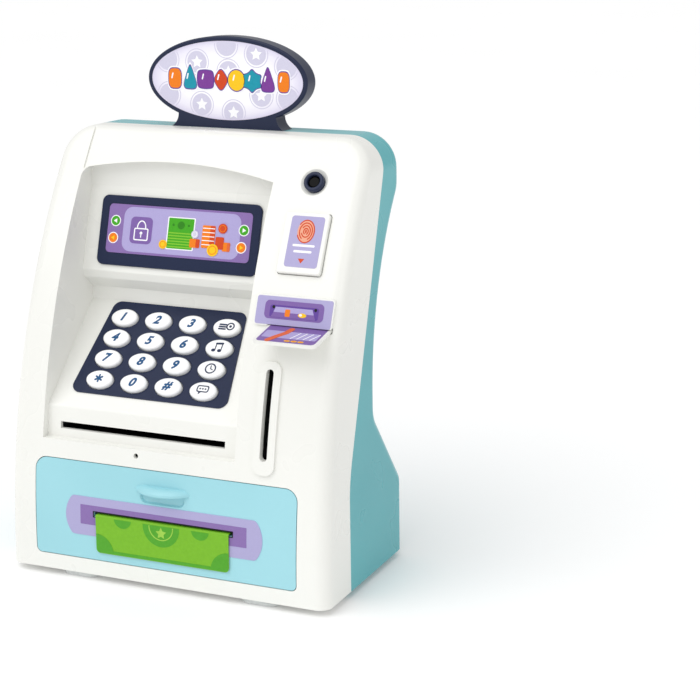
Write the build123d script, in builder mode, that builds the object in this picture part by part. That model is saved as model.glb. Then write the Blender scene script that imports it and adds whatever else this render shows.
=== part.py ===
"""Toy cash-machine savings bank: moulded shells, keypad, screen, card reader and money drawer.

Millimetres, +Z up, front towards -Y, origin on the table under the middle of the bank.
Most dimensions are given as (across, depth, height): depth behind the front foot of the shell,
height above its underside.  The planes `side`, `face` and `plan` turn those into positions.
"""
import os
from math import acos, asin, cos, degrees, radians, sin

from build123d import *

os.makedirs("parts", exist_ok=True)

# Whole body.
width = 172.6
height = 212.0
depth = 97.0
top_width = 166.0
foot_h = 3.5
foot_x = 49.0
front_y = -46.0
wall = 2.2
corner_r = 17.0
rim_r = 6.5

# Leaning front: upright up to lean_z, then one long arc.
lean_z = 14.8
lean_r = 341.0

# Back: a deep base, a slanted ledge, a narrow waist and an overhanging head.
ledge_z = 39.0
waist_z = 79.0
waist_y = 63.3
swell_z = 90.0
swell_r = 148.6
swell_top = 183.0

# Joint between the white front and the blue rear shell.
seam_low = 28.4
seam_bend = 54.0
seam_top = 75.3
seam_high = 197.5

# Bay for the screen and keys, cut into the front shell.
bay_l, bay_r = -67.0, 37.5
bay_mid = (bay_l + bay_r) / 2
bay_floor = 65.0
console_lean = 45.4
console_foot = (10.0, 81.0)
console_head = (55.0, 125.4)
screen_lean = 15.8
tub_wall = 2.0

# Keys.
key_pitch_x = 18.97
key_pitch_y = 12.1
key_w, key_h = 14.4, 9.8
key_top = 2.8
key_travel = 1.2
key_gap = 0.35
key_names = (
    ("1", "2", "3", "coins"),
    ("4", "5", "6", "music"),
    ("7", "8", "9", "clock"),
    ("star", "0", "hash", "voice"),
)

# Drawer.
drawer_w = 140.6
drawer_low, drawer_high = 8.0, 56.4
panel_t = 2.6
tray_half = 65.5
tray_floor = 10.0
tray_rim = 38.0
tray_back = 74.0
tray_t = 1.8
pull_r = 19.6

# Planes of the measured frame.
side = Plane((0, front_y, foot_h), x_dir=(0, 1, 0), z_dir=(1, 0, 0))
face = Plane((0, front_y, foot_h), x_dir=(1, 0, 0), z_dir=(0, -1, 0))
plan = Plane((0, front_y, foot_h))


def front_at(z):
    """Depth of the leaning front at height z."""
    return lean_r - lean_r * cos(asin(max(z - lean_z, 0) / lean_r))


def leaning(x, y, z, lean):
    """Plane through a point, facing forwards and tipped back by lean degrees."""
    normal = (0, -cos(radians(lean)), sin(radians(lean)))
    return Plane((x, front_y + y, foot_h + z), x_dir=(1, 0, 0), z_dir=normal)


def on_front(x, z):
    """Plane that touches the leaning front at (x, z)."""
    return leaning(x, front_at(z), z, degrees(asin((z - lean_z) / lean_r)))


def body(inset):
    """Closed body of the bank, shrunk by inset on every side."""
    lean_sweep = degrees(asin((height - lean_z) / lean_r))
    swell_sweep = degrees(acos(1 - (depth - waist_y) / swell_r))
    with BuildPart() as block:
        with BuildSketch(side) as side_view:
            with BuildLine():
                lean = JernArc((0, lean_z), (0, 1), lean_r, -lean_sweep)
                swell = JernArc((waist_y, swell_z), (0, 1), swell_r, -swell_sweep)
                Line((0, 0), lean @ 0)
                Polyline(lean @ 1, (depth, height), swell @ 1)
                Polyline(swell @ 0, (waist_y, waist_z), (depth, ledge_z), (depth, 0), (0, 0))
            make_face()
            fillet(side_view.vertices().sort_by_distance((depth, ledge_z))[0], 9)
            fillet(side_view.vertices().sort_by_distance((waist_y, waist_z))[0], 12)
            fillet(side_view.vertices().sort_by_distance(swell @ 1)[0], 14)
            if inset:
                offset(amount=-inset, kind=Kind.INTERSECTION)
        extrude(amount=width, both=True)
        with BuildSketch(face) as front_view:
            with BuildLine():
                Polyline(
                    (-width / 2 + inset, inset), (width / 2 - inset, inset),
                    (top_width / 2 - inset, height - inset), (-top_width / 2 + inset, height - inset),
                    close=True,
                )
            make_face()
            fillet(front_view.vertices().group_by(Axis.Y)[-1], corner_r - inset)
        extrude(amount=2 * depth, both=True, mode=Mode.INTERSECT)
        rim = block.edges().filter_by(Axis.X, reverse=True).filter_by(Axis.Y, reverse=True)
        rim += block.edges().filter_by(Axis.X).group_by(Axis.Z)[-1]
        fillet(rim, rim_r - inset)
    return block.part


def seam_side():
    """Everything in front of the seam between the two shells."""
    with BuildPart() as region:
        with BuildSketch(side) as outline:
            with BuildLine():
                Polyline(
                    (-20, -20), (seam_low, -20), (seam_low, seam_bend), (seam_top, seam_high),
                    (seam_top, height + 20), (-20, height + 20), close=True,
                )
            make_face()
            fillet(outline.vertices().sort_by_distance((seam_low, seam_bend))[0], 60)
            fillet(outline.vertices().sort_by_distance((seam_top, seam_high))[0], 30)
        extrude(amount=width, both=True)
    return region.part


def bay(grow):
    """Room in front of the screen and keys; grow adds the thickness of its walls."""
    with BuildPart() as room:
        with BuildSketch(side) as section:
            with BuildLine():
                Polyline(
                    (-20, bay_floor), (8.2, bay_floor + 0.8), console_foot, console_head,
                    (55, 132), (47.6, 138), (46, 142), (57.6, 183), (58, 200), (-20, 200), close=True,
                )
            make_face()
            fillet(section.vertices().sort_by_distance(console_foot)[0], 3 + grow)
            fillet(section.vertices().sort_by_distance((46, 142))[0], 1 + grow)
            if grow:
                offset(amount=grow, kind=Kind.INTERSECTION)
        extrude(amount=width, both=True)
        with BuildSketch(face) as mouth:
            with BuildLine():
                Line((bay_l - grow, bay_floor - grow), (bay_r + grow, bay_floor - grow))
                Line((bay_r + grow, bay_floor - grow), (bay_r + grow, 191 + grow))
                ThreePointArc((bay_r + grow, 191 + grow), (bay_mid - 3, 197 + grow),
                              (bay_l - grow, 192.5 + grow))
                Line((bay_l - grow, 192.5 + grow), (bay_l - grow, bay_floor - grow))
            make_face()
            fillet(mouth.vertices().group_by(Axis.Y)[-1], 5 + grow)
        extrude(amount=-2 * depth, both=True, mode=Mode.INTERSECT)
    return room.part


def front_layer(outline, low, high):
    """Prism of the outline, kept only from low to high proud of the leaning front."""
    with BuildPart() as layer:
        extrude(outline.sketch, amount=12)
        extrude(outline.sketch, amount=-90)
        with BuildSketch(side):
            with Locations((lean_r, lean_z)):
                Circle(lean_r + high)
                Circle(lean_r + low, mode=Mode.SUBTRACT)
        extrude(amount=width, both=True, mode=Mode.INTERSECT)
    return layer.part


def panel(x_min, x_max, z_min, z_max, radius):
    """Rounded rectangle in the front view, from its four limits."""
    with BuildSketch(face) as outline:
        with Locations(((x_min + x_max) / 2, (z_min + z_max) / 2)):
            RectangleRounded(x_max - x_min, z_max - z_min, radius)
    return outline


def drawer_outline(gap):
    """Front view of the drawer: wide corners above, tight ones below."""
    with BuildSketch(face) as outline:
        with Locations((0, (drawer_low + drawer_high) / 2)):
            Rectangle(drawer_w + 2 * gap, drawer_high - drawer_low + 2 * gap)
        fillet(outline.vertices().group_by(Axis.Y)[-1], 6 + gap)
        fillet(outline.vertices().group_by(Axis.Y)[0], 2.5 + gap)
    return outline


def channel(x_min, x_max, outline):
    """Prism of an outline given as (depth, height) points, from x_min to x_max."""
    with BuildPart() as prism:
        with BuildSketch(Plane((x_min, front_y, foot_h), x_dir=(0, 1, 0), z_dir=(1, 0, 0))):
            Polygon(*outline, align=None)
        extrude(amount=x_max - x_min)
    return prism.part


def outermost(builder, plane):
    """Edges of a piece that lie furthest out along the plane's normal."""
    return builder.edges().group_by(Axis((0, 0, 0), plane.z_dir))[-1]


# Shared shapes.
outer = body(0)
inner = body(wall)
front_region = seam_side()
bay_room = bay(0)
bay_tub = bay(tub_wall)

console = leaning(-15.25, 34.3, 105.0, console_lean)
screen = leaning(-15.0, 51.4, 161.75, screen_lean)
touch = on_front(59.75, 165.4)
camera = on_front(58.5, 192.2)
card_tilt = radians(11)
card_plane = Plane((64.25, front_y + 19.4, foot_h + 128.6), x_dir=(1, 0, 0),
                   z_dir=(0, -sin(card_tilt), cos(card_tilt)))
rear = Plane((0, front_y + depth, foot_h), x_dir=(-1, 0, 0), z_dir=(0, 1, 0))

key_spots = [
    ((col - 1.5) * key_pitch_x, (1.5 - row) * key_pitch_y) for row in range(4) for col in range(4)
]
keypad_bosses = [(u, v) for u in (-41, 41) for v in (-21, 21)]
screen_bosses = [(u, v) for u in (-35, 35) for v in (-13, 13)]
touch_bosses = [(-16, 0), (16, 0)]
board_spots = [(x, z) for x in (-48, 48) for z in (160, 197)]

# Case screws run forwards through posts in the rear shell into bosses in the front one.
seam_slope = (seam_top - seam_low) / (seam_high - seam_bend)
post_spots = [
    (sign * x, z, seam)
    for x, z, seam in (
        (76, 14, seam_low),
        (76, 112, seam_low + (112 - seam_bend) * seam_slope),
        (71.5, 199, seam_top),
    )
    for sign in (-1, 1)
]

# --- front shell: bay, column and frame round the drawer ---------------------------------
drawer_gap = drawer_outline(0.4)
rib_shape = front_layer(panel(47.2, 58.2, 61.5, 113.5, 4.5), -1.5, 1.2)
hood_shape = front_layer(panel(41.0, 80.5, 129.2, 142.8, 1.4), -1.5, 1.2)
brow_crease = front_layer(panel(-66.8, -65.6, 192, 216, 0.5), -0.7, 3)

with BuildPart() as front_shell:
    add(outer)
    add(inner, mode=Mode.SUBTRACT)
    with BuildPart(mode=Mode.PRIVATE) as tub:
        add(bay_tub)
        add(outer, mode=Mode.INTERSECT)
    add(tub.part)
    with BuildPart(mode=Mode.PRIVATE) as bosses:
        with BuildSketch(face):
            with Locations(*[(x, z) for x, z, seam in post_spots]):
                Circle(4.5)
        extrude(amount=-depth)
        add(outer, mode=Mode.INTERSECT)
    add(bosses.part)
    add(front_region, mode=Mode.INTERSECT)
    for x, z, seam in post_spots:
        with BuildSketch(face.offset(-seam - 3)):
            with Locations((x, z)):
                Circle(1.5)
        extrude(amount=12.5, mode=Mode.SUBTRACT)
    add(tub.part)
    add(bay_room, mode=Mode.SUBTRACT)
    for base, spots, drop in (
        (console, keypad_bosses, 6.6), (screen, screen_bosses, 6.0), (touch, touch_bosses, 7.6)
    ):
        with BuildSketch(base.offset(-1)):
            with Locations(*spots):
                Circle(2.5)
        extrude(amount=1 - drop)
        with BuildSketch(base.offset(-drop)):
            with Locations(*spots):
                Circle(1.1)
        extrude(amount=4, mode=Mode.SUBTRACT)
    add(rib_shape)
    add(hood_shape)
    add(brow_crease, mode=Mode.SUBTRACT)
    with BuildSketch(console.offset(-4)):
        with Locations(*key_spots):
            Ellipse(key_w / 2 + key_gap, key_h / 2 + key_gap)
    extrude(amount=6, mode=Mode.SUBTRACT)
    with BuildSketch(screen.offset(-4)):
        with Locations((0, 1)):
            Rectangle(64, 18)
    extrude(amount=6, mode=Mode.SUBTRACT)
    with BuildSketch(touch.offset(-6)):
        RectangleRounded(22.5 + 2 * key_gap, 29.8 + 2 * key_gap, 1.9)
    extrude(amount=10, mode=Mode.SUBTRACT)
    with BuildSketch(camera.offset(-6)):
        Circle(5.0)
    extrude(amount=10, mode=Mode.SUBTRACT)
    with Locations(camera.offset(-0.6)):
        Cone(5.0, 7.0, 1.4, mode=Mode.SUBTRACT)
    with BuildSketch(card_plane.offset(-1.25)):
        Rectangle(32.5, 16)
    extrude(amount=2.5, mode=Mode.SUBTRACT)
    with BuildSketch(face):
        with Locations((52.6, 89)):
            SlotOverall(42, 3.8, rotation=90)
        with Locations((-15, 62.5)):
            Circle(1.25)
    extrude(amount=-40, mode=Mode.SUBTRACT)
    with BuildSketch(face):
        with Locations((-14.8, 71.7)):
            Rectangle(89.8, 3.4)
    extrude(amount=-13, mode=Mode.SUBTRACT)
    extrude(drawer_gap.sketch, amount=-12, mode=Mode.SUBTRACT)
front_shell.part.label = "front_shell"

# --- rear shell: back, sides behind the seam and the floor under the drawer ----------------
cell_bay = (60.0, 4.6, 34.4)
switch_spot = (0.0, 193.0)
speaker_spot = (0.0, 90.0)

with BuildPart() as rear_shell:
    add(outer)
    add(inner, mode=Mode.SUBTRACT)
    with BuildPart(mode=Mode.PRIVATE) as posts:
        with BuildSketch(face):
            with Locations(*[(x, z) for x, z, seam in post_spots]):
                Circle(4.5)
        extrude(amount=-depth)
        with BuildSketch(face.offset(-67.6)):
            with Locations(*board_spots):
                Circle(3)
        extrude(amount=-30)
        add(outer, mode=Mode.INTERSECT)
    add(posts.part)
    with BuildPart(mode=Mode.PRIVATE) as ahead:
        add(front_region)
        with BuildSketch(face.offset(-60)):
            with Locations(*board_spots):
                Circle(3.01)
        extrude(amount=-40, mode=Mode.SUBTRACT)
    add(ahead.part, mode=Mode.SUBTRACT)
    for x, z, seam in post_spots:
        with BuildSketch(face.offset(3 - seam)):
            with Locations((x, z)):
                Circle(1.7)
        extrude(amount=-depth, mode=Mode.SUBTRACT)
        with BuildSketch(face.offset(-seam - 4)):
            with Locations((x, z)):
                Circle(3.4)
        extrude(amount=-depth, mode=Mode.SUBTRACT)
    with BuildSketch(face.offset(-67.6)):
        with Locations(*board_spots):
            Circle(1.1)
    extrude(amount=-6, mode=Mode.SUBTRACT)
    with BuildSketch(face.offset(-depth + 5)):
        with Locations((0, (cell_bay[1] + cell_bay[2]) / 2)):
            Rectangle(2 * cell_bay[0], cell_bay[2] - cell_bay[1])
        with Locations(switch_spot):
            Rectangle(10.6, 4.0)
    extrude(amount=-10, mode=Mode.SUBTRACT)
    with BuildSketch(face.offset(-58)):
        with Locations(speaker_spot):
            Circle(1.3)
        for ring, count in ((5, 6), (9.5, 12), (14, 18)):
            with Locations(speaker_spot):
                with PolarLocations(ring, count):
                    Circle(1.3)
    extrude(amount=-10, mode=Mode.SUBTRACT)
    with BuildSketch(plan.offset(height - 6)):
        with Locations((-20, 80.8), (20, 80.8)):
            Rectangle(10, 5)
    extrude(amount=10, mode=Mode.SUBTRACT)
rear_shell.part.label = "rear_shell"

with BuildPart() as feet:
    with BuildSketch(plan):
        with Locations(*[(x, y) for x in (-foot_x, foot_x) for y in (9, 84)]):
            SlotOverall(21, 12)
    extrude(amount=-foot_h)
    fillet(feet.edges().group_by(Axis.Z)[0], 0.8)
feet.part.label = "feet"

with BuildPart() as case_screws:
    for x, z, seam in post_spots:
        with BuildSketch(face.offset(-seam - 4)):
            with Locations((x, z)):
                Circle(2.9)
                Rectangle(3.6, 0.8, mode=Mode.SUBTRACT)
                Rectangle(0.8, 3.6, mode=Mode.SUBTRACT)
        extrude(amount=-1.8)
        with BuildSketch(face.offset(-seam - 4)):
            with Locations((x, z)):
                Circle(2.9)
        extrude(amount=-0.8)
        with BuildSketch(face.offset(-seam - 4)):
            with Locations((x, z)):
                Circle(1.45)
        extrude(amount=13)
case_screws.part.label = "case_screws"

# --- sign on the roof ---------------------------------------------------------------------
sign_y, sign_t = 75.5, 10.5
sign_mid = 235.2
sign_rx, sign_rz = 43.4, 21.5

with BuildPart() as sign_housing:
    with BuildSketch(face.offset(-sign_y)):
        with Locations((0, sign_mid)):
            Ellipse(sign_rx, sign_rz)
        with BuildLine():
            Line((-30.5, height), (30.5, height))
            ThreePointArc((30.5, height), (27.3, height + 3.4), (27.0, height + 8.5))
            Line((27.0, height + 8.5), (-27.0, height + 8.5))
            ThreePointArc((-27.0, height + 8.5), (-27.3, height + 3.4), (-30.5, height))
        make_face()
    extrude(amount=-sign_t)
    fillet(sign_housing.edges().filter_by(GeomType.ELLIPSE), 1.0)
    with BuildSketch(face.offset(-sign_y)):
        with Locations((0, sign_mid)):
            Ellipse(sign_rx - 2.2, sign_rz - 2.2)
    extrude(amount=-1.0, mode=Mode.SUBTRACT)
    with BuildSketch(plan.offset(height - 5)):
        with Locations((-20, 80.8), (20, 80.8)):
            Rectangle(9.8, 4.8)
    extrude(amount=5)
sign_housing.part.label = "sign_housing"

with BuildPart() as sign_label:
    with BuildSketch(face.offset(-sign_y - 1.0)):
        with Locations((0, sign_mid)):
            Ellipse(sign_rx - 2.3, sign_rz - 2.3)
    extrude(amount=0.8)
sign_label.part.label = "sign_label"

# --- screen -------------------------------------------------------------------------------
with BuildPart() as screen_bezel:
    with BuildSketch(screen):
        RectangleRounded(88, 34.8, 3.5)
    extrude(amount=1.2)
    fillet(outermost(screen_bezel, screen), 0.5)
    with BuildSketch(screen.offset(0.8)):
        with Locations((0, 1)):
            RectangleRounded(79.4, 24.7, 2.4)
    extrude(amount=1, mode=Mode.SUBTRACT)
    with BuildSketch(screen):
        with Locations((0, 1)):
            Rectangle(64, 18)
    extrude(amount=2, mode=Mode.SUBTRACT)
screen_bezel.part.label = "screen_bezel"

with BuildPart() as screen_label:
    with BuildSketch(screen.offset(0.8)):
        with Locations((0, 1)):
            RectangleRounded(79.0, 24.3, 2.2)
    extrude(amount=0.3)
screen_label.part.label = "screen_label"

with BuildPart() as display_board:
    with BuildSketch(screen.offset(-7.6)):
        Rectangle(78, 31)
        with Locations(*screen_bosses):
            Circle(1.2, mode=Mode.SUBTRACT)
    extrude(amount=1.6)
    with BuildSketch(screen.offset(-6)):
        with GridLocations(15, 9, 4, 2):
            Rectangle(3.5, 2.8)
    extrude(amount=1.4)
display_board.part.label = "display_board"

# --- keypad -------------------------------------------------------------------------------
with BuildPart() as keypad_plate:
    with BuildSketch(console) as plate_view:
        with BuildLine():
            Polyline((-43.0, -25.7), (42.8, -25.7), (35.8, 28.2), (-37.6, 28.2), close=True)
        make_face()
        fillet(plate_view.vertices(), 4.5)
        with Locations(*key_spots):
            Ellipse(key_w / 2 + key_gap, key_h / 2 + key_gap, mode=Mode.SUBTRACT)
    extrude(amount=0.6)
keypad_plate.part.label = "keypad_plate"

keys = {}
for spot, name in zip(key_spots, [name for row in key_names for name in row]):
    with BuildPart() as key:
        with BuildSketch(console.offset(-3.4)):
            with Locations(spot):
                Ellipse(key_w / 2 + 1.1, key_h / 2 + 0.7)
        extrude(amount=1.0)
        with BuildSketch(console.offset(-2.4)):
            with Locations(spot):
                Ellipse(key_w / 2, key_h / 2)
        extrude(amount=2.4 + key_top)
        fillet(outermost(key, console), 1.3)
    key.part.label = "key_" + name
    keys[name] = key.part

with BuildPart() as key_membrane:
    with BuildSketch(console.offset(-6.6)):
        Rectangle(76, 48)
    extrude(amount=0.8)
    with BuildSketch(console.offset(-5.8)):
        with Locations(*key_spots):
            Circle(3.6)
    extrude(amount=0.8, taper=30)
key_membrane.part.label = "key_membrane"

with BuildPart() as keypad_board:
    with BuildSketch(console.offset(-8.2)):
        Rectangle(90, 50)
        with Locations(*keypad_bosses):
            Circle(1.2, mode=Mode.SUBTRACT)
    extrude(amount=1.6)
keypad_board.part.label = "keypad_board"

# --- fingerprint button, camera and card reader on the column -----------------------------
with BuildPart() as touch_button:
    with BuildSketch(touch.offset(-4.2)):
        RectangleRounded(25.1, 32.4, 1.6)
    extrude(amount=1.0)
    with BuildSketch(touch.offset(-3.2)):
        RectangleRounded(22.5, 29.8, 1.6)
    extrude(amount=5.2)
    fillet(outermost(touch_button, touch), 0.7)
touch_button.part.label = "touch_button"

with BuildPart() as touch_sticker:
    with BuildSketch(touch.offset(2.0)):
        with Locations((0.9, 0.5)):
            RectangleRounded(16.7, 24.7, 1.4)
    extrude(amount=0.15)
touch_sticker.part.label = "touch_sticker"

with BuildPart() as touch_board:
    with BuildSketch(touch.offset(-9.2)):
        RectangleRounded(38, 20, 1)
        with Locations(*touch_bosses):
            Circle(1.2, mode=Mode.SUBTRACT)
    extrude(amount=1.6)
    with BuildSketch(touch.offset(-7.6)):
        Circle(3)
    extrude(amount=1.7)
touch_board.part.label = "touch_board"

with BuildPart() as camera_ring:
    with BuildSketch(camera.offset(-4)):
        Circle(4.95)
        Circle(3.1, mode=Mode.SUBTRACT)
    extrude(amount=5.6)
    fillet(outermost(camera_ring, camera), 0.7)
camera_ring.part.label = "camera_ring"

with BuildPart() as camera_lens:
    with BuildSketch(camera.offset(-2)):
        Circle(3.1)
    extrude(amount=2.4)
    fillet(outermost(camera_lens, camera), 1.0)
camera_lens.part.label = "camera_lens"

reader_sticker_part = front_layer(panel(41.6, 79.9, 129.8, 142.2, 1.0), 1.2, 1.4)
reader_sticker_part.label = "reader_sticker"

with BuildPart() as bank_card:
    with BuildSketch(card_plane.offset(-0.7)):
        with Locations((0, 4.5)):
            RectangleRounded(31.5, 46, 2.5)
    extrude(amount=1.4)
bank_card.part.label = "bank_card"

with BuildPart() as card_guide:
    with BuildSketch(card_plane.offset(-2.4)):
        with Locations((0, 18.5)):
            Rectangle(34.8, 23.0)
    extrude(amount=4.8)
    with BuildSketch(card_plane.offset(-1.15)):
        with Locations((0, 16)):
            Rectangle(32.4, 26)
    extrude(amount=2.3, mode=Mode.SUBTRACT)
card_guide.part.label = "card_guide"

# --- chutes from the slots down to the drawer -----------------------------------------------
with BuildPart() as coin_chute:
    add(channel(49.4, 55.8, ((0, 58), (40, 58), (46, 114), (0, 114))))
    add(channel(50.6, 54.6, ((-5, 57), (38.7, 57), (44.7, 112.8), (-5, 112.8))), mode=Mode.SUBTRACT)
    with BuildSketch(side):
        with Locations((lean_r, lean_z)):
            Circle(lean_r - 2.5)
    extrude(amount=width, both=True, mode=Mode.INTERSECT)
coin_chute.part.label = "coin_chute"

with BuildPart() as note_chute:
    add(channel(-61.5, 31.9, ((12.3, 75.0), (32, 70.6), (46, 57), (36, 57), (28.4, 64.2), (12.3, 68.4))))
    add(channel(-60.3, 30.7, ((11, 74.1), (31.5, 69.5), (45, 56), (39.3, 56), (29.3, 65.8), (11, 69.9))),
        mode=Mode.SUBTRACT)
note_chute.part.label = "note_chute"

# --- money drawer -----------------------------------------------------------------------------
note_slot_z = 31.2
fold_z = note_slot_z + 0.1
drawer_view = drawer_outline(0)
drawer_front = front_layer(drawer_view, -panel_t, 0)

# Finger pull: a hooded lip, kept where it stands out of the drawer front.
with BuildPart() as finger_pull:
    with BuildSketch(Plane((0, front_y + pull_r - 5.0, foot_h), x_dir=(1, 0, 0), z_dir=(0, -1, 0))):
        with BuildLine():
            Polyline((15.0, 49.2), (0, 49.2), (0, 45.9), (pull_r, 45.9), (pull_r, 47.2))
            ThreePointArc((pull_r, 47.2), (18.0, 48.7), (15.0, 49.2))
        make_face()
    revolve(axis=Axis((0, front_y + pull_r - 5.0, foot_h), (0, 0, 1)))
    fillet(finger_pull.edges().filter_by(GeomType.CIRCLE).sort_by(Axis.Z)[0], 0.6)
    add(front_layer(panel(-20, 20, 42, 53, 1), -1.5, 8), mode=Mode.INTERSECT)

with BuildPart() as drawer:
    add(drawer_front)
    with BuildSketch(plan.offset(tray_floor)):
        with Locations((0, (tray_back + 1.5) / 2)):
            Rectangle(2 * tray_half, tray_back - 1.5)
    extrude(amount=tray_rim - tray_floor)
    with BuildSketch(plan.offset(tray_floor + tray_t)):
        with Locations((0, (tray_back - tray_t + panel_t) / 2)):
            Rectangle(2 * (tray_half - tray_t), tray_back - tray_t - panel_t)
    extrude(amount=tray_rim, mode=Mode.SUBTRACT)
    with BuildSketch(on_front(0, 43.6)):
        SlotOverall(24, 6.8)
    extrude(amount=-1.2, taper=35, mode=Mode.SUBTRACT)
    add(finger_pull.part)
    with BuildSketch(face.offset(5)):
        with Locations((0, note_slot_z)):
            Rectangle(75, 2.2)
    extrude(amount=-12, mode=Mode.SUBTRACT)
drawer.part.label = "drawer"

with BuildSketch(face) as slot_surround:
    with BuildLine():
        Line((-49.5, 20), (49.5, 20))
        ThreePointArc((49.5, 20), (53.2, 29.8), (49.5, 39.5))
        Line((49.5, 39.5), (-49.5, 39.5))
        ThreePointArc((-49.5, 39.5), (-53.2, 29.8), (-49.5, 20))
    make_face()
    fillet(slot_surround.vertices(), 2.5)
    with Locations((0, note_slot_z)):
        Rectangle(75, 2.2, mode=Mode.SUBTRACT)
slot_sticker_part = front_layer(slot_surround, 0.0, 0.2)
slot_sticker_part.label = "slot_sticker"

# The note hangs down over the drawer front; its top edge goes back through the slot.
with BuildPart() as banknote:
    with BuildSketch(side):
        with BuildLine():
            fold = FilletPolyline((-0.75, 12.2), (-0.75, fold_z), (12.5, fold_z), radius=0.6)
            offset(fold, amount=0.15)
        make_face()
    extrude(amount=36, both=True)
banknote.part.label = "banknote"

with BuildPart() as drawer_rails:
    for sign in (-1, 1):
        with BuildSketch(face.offset(-4)):
            Polygon(*[(sign * x, z) for x, z in (
                (57, 2.2), (67.4, 2.2), (67.4, 16), (65.8, 16), (65.8, 9.9), (57, 9.9))], align=None)
        extrude(amount=-71)
drawer_rails.part.label = "drawer_rails"

# --- electronics --------------------------------------------------------------------------
with BuildPart() as main_board:
    with BuildSketch(face.offset(-66)):
        with Locations((0, 178.5)):
            Rectangle(104, 46)
        with Locations(*board_spots):
            Circle(1.2, mode=Mode.SUBTRACT)
    extrude(amount=-1.6)
    with BuildSketch(face.offset(-67.6)):
        with Locations((-14, 182)):
            Rectangle(14, 14)
        with Locations((14, 184), (24, 172)):
            Rectangle(8, 5)
        with Locations((-34, 174)):
            Circle(4)
    extrude(amount=-2.4)
main_board.part.label = "main_board"

board_back = Plane(face.offset(-66).origin, x_dir=(-1, 0, 0), z_dir=(0, 1, 0))
board_back_spots = [(-x, z) for x, z in board_spots]

with BuildPart() as board_screws:
    for base, spots, drop in (
        (console, keypad_bosses, 8.2),
        (screen, screen_bosses, 7.6),
        (touch, touch_bosses, 9.2),
        (board_back, board_back_spots, 0),
    ):
        with BuildSketch(base.offset(-drop)):
            with Locations(*spots):
                Circle(2.2)
        extrude(amount=-1.3)
        with BuildSketch(base.offset(-drop)):
            with Locations(*spots):
                Circle(1.05)
        extrude(amount=4.6)
board_screws.part.label = "board_screws"

with BuildPart() as speaker:
    with BuildSketch(face.offset(-51)):
        with Locations(speaker_spot):
            Circle(10)
    extrude(amount=-5)
    with BuildSketch(face.offset(-56)):
        with Locations(speaker_spot):
            Circle(18)
    extrude(amount=-4.6)
    with BuildSketch(face.offset(-60.6)):
        with Locations(speaker_spot):
            Circle(15)
    extrude(amount=2.5, taper=35, mode=Mode.SUBTRACT)
speaker.part.label = "speaker"

cell_r, cell_l = 7.2, 50.2
cell_y = 87.2
cell_spots = [(sign * 30.3, z) for sign in (-1, 1) for z in (11.9, 27.1)]
cell_mid = 19.5

with BuildPart() as battery_box:
    with BuildSketch(face.offset(-78.3)):
        with Locations((0, cell_mid)):
            Rectangle(123, 32.4)
    extrude(amount=-16.5)
    with BuildSketch(face.offset(-79.7)):
        with Locations((0, cell_mid)):
            Rectangle(115.2, 30.2)
        with Locations((0, cell_mid)):
            Rectangle(8.4, 30.2, mode=Mode.SUBTRACT)
    extrude(amount=-20, mode=Mode.SUBTRACT)
    with BuildSketch(face.offset(-83)):
        with Locations((0, cell_mid)):
            Circle(1.45)
    extrude(amount=-20, mode=Mode.SUBTRACT)
battery_box.part.label = "battery_box"

with BuildPart() as batteries:
    for x, z in cell_spots:
        with Locations(Plane((x, front_y + cell_y, foot_h + z), x_dir=(0, 1, 0), z_dir=(1, 0, 0))):
            Cylinder(cell_r, cell_l - 1.4)
        with Locations(Plane((x, front_y + cell_y, foot_h + z), x_dir=(0, 1, 0), z_dir=(1, 0, 0))):
            Cylinder(2.7, cell_l)
batteries.part.label = "batteries"

with BuildPart() as battery_contacts:
    for x, z in cell_spots:
        for end in (-1, 1):
            contact_x = x + end * (cell_l / 2 + 0.2)
            with Locations((contact_x, front_y + cell_y, foot_h + z)):
                Box(0.4, 9, 11)
battery_contacts.part.label = "battery_contacts"

with BuildPart() as battery_cover:
    with BuildSketch(face.offset(-depth)):
        with Locations((0, (cell_bay[1] + cell_bay[2]) / 2)):
            RectangleRounded(2 * cell_bay[0] - 0.6, cell_bay[2] - cell_bay[1] - 0.6, 1)
    extrude(amount=wall)
    with BuildSketch(face.offset(-depth)):
        with Locations((0, cell_mid)):
            Circle(3.1)
    extrude(amount=1.4, mode=Mode.SUBTRACT)
    with BuildSketch(face.offset(-depth)):
        with Locations((0, cell_mid)):
            Circle(1.6)
    extrude(amount=4, mode=Mode.SUBTRACT)
battery_cover.part.label = "battery_cover"

with BuildPart() as battery_screw:
    with BuildSketch(face.offset(-depth + 1.4)):
        with Locations((0, cell_mid)):
            Circle(2.8)
    extrude(amount=-1.3)
    with BuildSketch(face.offset(-depth + 0.1)):
        with Locations((0, cell_mid)):
            Rectangle(3.6, 0.8)
            Rectangle(0.8, 3.6)
    extrude(amount=0.8, mode=Mode.SUBTRACT)
    with BuildSketch(face.offset(-depth + 1.4)):
        with Locations((0, cell_mid)):
            Circle(1.4)
    extrude(amount=9.5)
battery_screw.part.label = "battery_screw"

with BuildPart() as switch_body:
    with Locations((0, front_y + 91.2, foot_h + switch_spot[1])):
        Box(15, 6.6, 8)
switch_body.part.label = "switch_body"

with BuildPart() as power_switch:
    with Locations((-2.2, front_y + 95.7, foot_h + switch_spot[1])):
        Box(5.4, 2.2, 3.4)
power_switch.part.label = "power_switch"

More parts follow.
